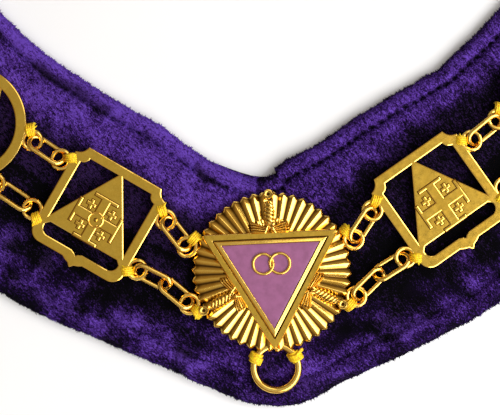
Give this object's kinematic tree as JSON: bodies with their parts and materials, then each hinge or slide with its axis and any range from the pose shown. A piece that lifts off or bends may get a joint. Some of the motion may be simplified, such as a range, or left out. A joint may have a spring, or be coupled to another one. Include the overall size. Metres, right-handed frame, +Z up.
{
  "type": "masonic chain collar",
  "caption": "Padded velvet collar with a V front and a double gold chain of pierced plates, sunburst medallion and hanging ring; worn round the neck over a coat.",
  "frame": {"origin": "on the floor, under the middle of the whole collar as it lies flat", "axes": "+Z up, through the thickness of the velvet; +Y from the V at the front towards the back of the neck; +X to the right in the picture"},
  "size_m": [0.4614, 0.4992, 0.0122],
  "materials": {
    "velvet": "crushed purple velvet",
    "polished_gold": "polished gold plate",
    "satin_gold": "satin gold plate with bright edges",
    "enamel": "smooth mauve enamel",
    "thread": "yellow sewing thread"
  },
  "bodies": {
    "root": {"enamel_inlay": "enamel", "enamel_motif": "polished_gold", "link_left_1_lower_a": "polished_gold", "link_left_1_lower_b": "polished_gold", "link_left_1_upper": "polished_gold", "link_left_2_lower": "polished_gold", "link_left_2_upper": "polished_gold", "link_left_3_lower_a": "polished_gold", "link_left_3_lower_b": "polished_gold", "link_left_3_upper": "polished_gold", "link_left_4_lower_a": "polished_gold", "link_left_4_lower_b": "polished_gold", "link_left_4_upper": "polished_gold", "link_left_5_lower_a": "polished_gold", "link_left_5_lower_b": "polished_gold", "link_left_5_upper": "polished_gold", "link_right_1_lower_a": "polished_gold", "link_right_1_lower_b": "polished_gold", "link_right_1_upper": "polished_gold", "link_right_2_lower": "polished_gold", "link_right_2_upper": "polished_gold", "link_right_3_lower_a": "polished_gold", "link_right_3_lower_b": "polished_gold", "link_right_3_upper": "polished_gold", "link_right_4_lower_a": "polished_gold", "link_right_4_lower_b": "polished_gold", "link_right_4_upper": "polished_gold", "link_right_5_lower_a": "polished_gold", "link_right_5_lower_b": "polished_gold", "link_right_5_upper": "polished_gold", "medallion": "polished_gold", "round_plate_left_2": "satin_gold", "round_plate_left_4": "satin_gold", "round_plate_right_2": "satin_gold", "round_plate_right_4": "satin_gold", "square_plate_left_1": "satin_gold", "square_plate_left_3": "satin_gold", "square_plate_left_5": "satin_gold", "square_plate_right_1": "satin_gold", "square_plate_right_3": "satin_gold", "square_plate_right_5": "satin_gold", "velvet_band": "velvet"}
  },
  "joints": []
}
